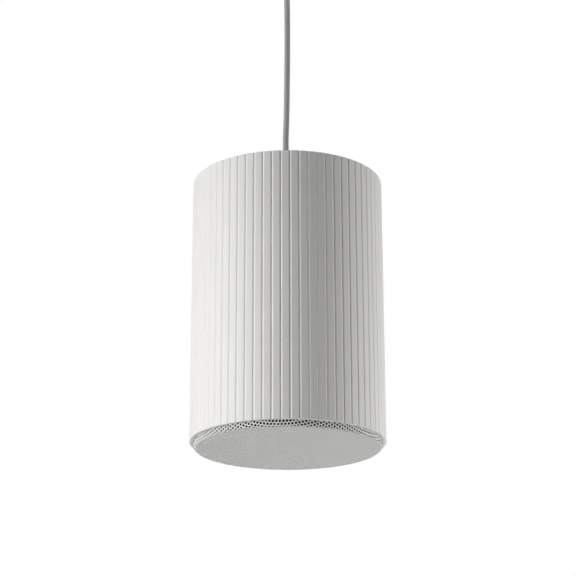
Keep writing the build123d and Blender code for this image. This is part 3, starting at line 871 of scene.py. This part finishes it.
def build_lining():
    """The ring of wadding in the cabinet, with the soft lumps of needled wool."""
    low, high = (Vector(corner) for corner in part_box("wadding"))
    outer = (high.x - low.x) / 2
    inner = outer - WADDING_THICKNESS
    row = (high.z - low.z) / WADDING_ROWS
    shape = bmesh.new()
    bmesh.ops.create_circle(shape, segments=RING_SEGMENTS, radius=inner)
    bmesh.ops.translate(shape, verts=shape.verts[:], vec=(0, 0, low.z))
    first = loop = shape.edges[:]
    for _ in range(WADDING_ROWS):
        loop = extend(shape, loop, rise=row)
    for radius in (inner + WADDING_THICKNESS / 2, outer):
        loop = extend(shape, loop)
        set_radius(loop, radius)
    for _ in range(WADDING_ROWS):
        loop = extend(shape, loop, rise=-row)
    bmesh.ops.bridge_loops(shape, edges=first + loop)
    bmesh.ops.recalc_face_normals(shape, faces=shape.faces[:])
    for vert in shape.verts:
        lump = noise.noise(vert.co * COARSE_LUMPS) * COARSE_SHARE
        lump += noise.noise(vert.co * FINE_LUMPS) * FINE_SHARE
        vert.co.xy += vert.co.xy.normalized() * lump * LUMP_PUSH
        vert.co.z += noise.noise(vert.co * LEVEL_LUMPS) * LUMP_RISE
    wool = fibre_felt("damping_wool", WOOL, size=0.0025, depth=0.0006)
    lining = new_piece("wool_lining", mesh_from(shape, "wool_lining", smooth=True), wool)
    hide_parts("wadding")


def build_cloth():
    """The thin fleece stretched over the inside of the dish."""
    low, high = (Vector(corner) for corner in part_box("grille_cloth"))
    radius = (high.x - low.x) / 2
    shape = bmesh.new()
    bmesh.ops.create_circle(shape, cap_ends=True, segments=RING_SEGMENTS, radius=radius)
    bmesh.ops.inset_region(shape, faces=shape.faces[:], thickness=radius / 2)
    bmesh.ops.translate(shape, verts=shape.verts[:], vec=(0, 0, (low.z + high.z) / 2))
    bmesh.ops.solidify(shape, geom=shape.faces[:], thickness=high.z - low.z)
    bmesh.ops.recalc_face_normals(shape, faces=shape.faces[:])
    fleece = woven_cloth("black_fleece", FLEECE_BLACK, pitch=0.0006, depth=0.0001)
    cloth = new_piece("dust_fleece", mesh_from(shape, "dust_fleece"), fleece)
    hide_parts("grille_cloth")


# Camera, lamps, floor and background

CAMERA_PLACE = Vector((0.00038, -1.7533, -0.9936))
CAMERA_PITCH = math.radians(18.75)
CAMERA_ROLL = math.radians(-0.133)
CAMERA_LENS = 110.7
CAMERA_SENSOR = 36.0
CAMERA_CLIP = (0.05, 60.0)

# What the lamps look at: the middle of the cabinet
LAMP_AIM = Vector((0.0, 0.0, -0.43))

# Azimuth, elevation, distance, width and height. Azimuth 0 is the camera's side and 90 the right.
LAMPS = (
    ("left", -73, -5, 2.2, 0.4, 1.4),
    ("middle", -50, -5, 0.8, 0.4, 0.6),
    ("right", 84, 12, 2.2, 0.4, 1.4),
    ("near", 94, -22, 0.9, 0.4, 0.6),
    ("low", 0, -60, 1.4, 1.2, 1.2),
    ("back", 180, -60, 1.4, 1.2, 1.2),
    ("top", 0, 90, 2.2, 0.3, 0.3),
)

FLOOR_HALF_WIDTH = 8.0
FLOOR_LEVEL = -3.0
FLOOR_GLOW = 0.85


def add_camera():
    """The photograph's camera, below the speaker and looking up."""
    data = bpy.data.cameras.new("camera")
    data.sensor_width = CAMERA_SENSOR
    data.lens = CAMERA_LENS
    data.clip_start, data.clip_end = CAMERA_CLIP
    camera = bpy.data.objects.new("camera", data)
    tilt = Matrix.Rotation(math.pi / 2 + CAMERA_PITCH, 4, "X")
    roll = Matrix.Rotation(CAMERA_ROLL, 4, "Z")
    camera.matrix_world = Matrix.Translation(CAMERA_PLACE) @ tilt @ roll
    bpy.context.scene.collection.objects.link(camera)
    bpy.context.scene.camera = camera


def add_lamp(name, azimuth, elevation, distance, width, height, power):
    """An area lamp that looks at the cabinet."""
    data = bpy.data.lights.new(name, "AREA")
    data.shape = "RECTANGLE"
    data.size = width
    data.size_y = height
    data.energy = power
    lamp = bpy.data.objects.new(name, data)
    side = math.radians(azimuth)
    rise = math.radians(elevation)
    level = math.cos(rise)
    away = Vector((math.sin(side) * level, -math.cos(side) * level, math.sin(rise)))
    turn = away.to_track_quat("Z", "Y").to_matrix().to_4x4()
    lamp.matrix_world = Matrix.Translation(LAMP_AIM + away * distance) @ turn
    bpy.context.scene.collection.objects.link(lamp)


def background_rays(board):
    """1 for the camera's rays and for those off metal or through glass, and 0 for the rest."""
    path = board.node("ShaderNodeLightPath").socket.node
    titles = ("Is Camera Ray", "Is Glossy Ray", "Is Transmission Ray")
    seen, mirrored, through = (Signal(board, path.outputs[title]) for title in titles)
    return board.node("ShaderNodeClamp", inputs={"Value": seen + mirrored + through})


def build_world(ambient):
    """White where it is seen, and a faint even light on the pieces."""
    world = bpy.data.worlds.new("white_room")
    bpy.context.scene.world = world
    board = Board(world)
    white = board.node("ShaderNodeBackground", inputs={"Color": WHITE, "Strength": 1.0})
    even = board.node("ShaderNodeBackground", inputs={"Color": WHITE, "Strength": ambient})
    mix = board.node("ShaderNodeMixShader", inputs={0: background_rays(board), 1: even, 2: white})
    board.node("ShaderNodeOutputWorld", inputs={"Surface": mix})


def build_floor():
    """A floor far below, mostly as pale as the background and keeping some of its own shading."""
    shape = bmesh.new()
    bmesh.ops.create_grid(shape, x_segments=1, y_segments=1, size=FLOOR_HALF_WIDTH)
    bmesh.ops.translate(shape, verts=shape.verts[:], vec=(0, 0, FLOOR_LEVEL))
    floor = bpy.data.objects.new("floor", mesh_from(shape, "floor"))
    board = new_board("pale_floor")
    paint = {"Base Color": FLOOR_WHITE, "Roughness": 0.7}
    matt = board.node("ShaderNodeBsdfPrincipled", inputs=paint)
    pale = board.node("ShaderNodeEmission", inputs={"Color": WHITE, "Strength": 1.0})
    glow = background_rays(board) * FLOOR_GLOW
    mix = board.node("ShaderNodeMixShader", inputs={0: glow, 1: matt, 2: pale})
    board.node("ShaderNodeOutputMaterial", inputs={"Surface": mix})
    floor.data.materials.append(board.owner)
    bpy.context.scene.collection.objects.link(floor)


def build_stage(sizes):
    """The camera, lamps, background and floor."""
    bpy.context.scene.view_settings.view_transform = "Standard"
    add_camera()
    for name, *layout in LAMPS:
        add_lamp(name + "_lamp", *layout, power=getattr(sizes, name + "_power"))
    build_world(sizes.ambient)
    build_floor()


# Operators, panel and registration

class PENDANT_OT_cabinet(bpy.types.Operator):
    """Model the fluted cabinet"""
    bl_idname = "pendant.cabinet"
    bl_label = "Cabinet"

    def execute(self, context):
        build_cabinet(context.scene.pendant_cabinet)
        return {"FINISHED"}


class PENDANT_OT_grille(bpy.types.Operator):
    """Model the perforated dish"""
    bl_idname = "pendant.grille"
    bl_label = "Grille"

    def execute(self, context):
        build_grille(context.scene.pendant_grille)
        return {"FINISHED"}


class PENDANT_OT_cable(bpy.types.Operator):
    """Model the hanging cable"""
    bl_idname = "pendant.cable"
    bl_label = "Cable"

    def execute(self, context):
        build_cable(context.scene.pendant_cable)
        return {"FINISHED"}


class PENDANT_OT_ceiling(bpy.types.Operator):
    """Finish the cup, bracket and cord grip at the ceiling"""
    bl_idname = "pendant.ceiling"
    bl_label = "Ceiling fitting"

    def execute(self, context):
        build_ceiling(context.scene.pendant_cabinet)
        return {"FINISHED"}


class PENDANT_OT_lid(bpy.types.Operator):
    """Finish the lid and its screws"""
    bl_idname = "pendant.lid"
    bl_label = "Lid"

    def execute(self, context):
        build_lid()
        return {"FINISHED"}


class PENDANT_OT_gland(bpy.types.Operator):
    """Finish the cable gland"""
    bl_idname = "pendant.gland"
    bl_label = "Cable gland"

    def execute(self, context):
        build_gland()
        return {"FINISHED"}


class PENDANT_OT_supply(bpy.types.Operator):
    """Finish the wiring and the transformer"""
    bl_idname = "pendant.supply"
    bl_label = "Wiring and transformer"

    def execute(self, context):
        build_supply()
        return {"FINISHED"}


class PENDANT_OT_driver(bpy.types.Operator):
    """Finish the driver and its baffle"""
    bl_idname = "pendant.driver"
    bl_label = "Driver"

    def execute(self, context):
        build_driver()
        return {"FINISHED"}


class PENDANT_OT_lining(bpy.types.Operator):
    """Model the wadding inside the cabinet"""
    bl_idname = "pendant.lining"
    bl_label = "Wadding"

    def execute(self, context):
        build_lining()
        return {"FINISHED"}


class PENDANT_OT_cloth(bpy.types.Operator):
    """Model the fleece behind the grille"""
    bl_idname = "pendant.cloth"
    bl_label = "Grille cloth"

    def execute(self, context):
        build_cloth()
        return {"FINISHED"}


class PENDANT_OT_stage(bpy.types.Operator):
    """Set up the camera, lamps, floor and background"""
    bl_idname = "pendant.stage"
    bl_label = "Stage"

    def execute(self, context):
        build_stage(context.scene.pendant_stage)
        return {"FINISHED"}


class PENDANT_PT_panel(bpy.types.Panel):
    """All sizes and colours, with the operators below them"""
    bl_idname = "PENDANT_PT_panel"
    bl_label = "Pendant speaker"
    bl_space_type = "VIEW_3D"
    bl_region_type = "UI"
    bl_category = "Pendant speaker"

    def draw(self, context):
        for name in GROUPS:
            box = self.layout.box()
            group = getattr(context.scene, name)
            for title in group.bl_rna.properties.keys():
                if title not in ("rna_type", "name"):
                    box.prop(group, title)
        for operator in OPERATORS:
            self.layout.operator(operator.bl_idname)


GROUPS = {
    "pendant_cabinet": CabinetSizes,
    "pendant_grille": GrilleSizes,
    "pendant_cable": CableSizes,
    "pendant_stage": StageSizes,
}
OPERATORS = (
    PENDANT_OT_cable, PENDANT_OT_cabinet, PENDANT_OT_grille, PENDANT_OT_ceiling, PENDANT_OT_lid,
    PENDANT_OT_gland, PENDANT_OT_supply, PENDANT_OT_driver, PENDANT_OT_lining, PENDANT_OT_cloth,
    PENDANT_OT_stage,
)


def register():
    """Adds the sizes, the operators and the panel."""
    for name, group in GROUPS.items():
        bpy.utils.register_class(group)
        setattr(bpy.types.Scene, name, bpy.props.PointerProperty(type=group))
    for operator in OPERATORS:
        bpy.utils.register_class(operator)
    bpy.utils.register_class(PENDANT_PT_panel)


def unregister():
    """Takes them out again, last one first."""
    bpy.utils.unregister_class(PENDANT_PT_panel)
    for operator in reversed(OPERATORS):
        bpy.utils.unregister_class(operator)
    for name, group in reversed(GROUPS.items()):
        delattr(bpy.types.Scene, name)
        bpy.utils.unregister_class(group)


def main():
    register()
    for operator in OPERATORS:
        group, name = operator.bl_idname.split(".")
        getattr(getattr(bpy.ops, group), name)()


if __name__ == "__main__":
    main()
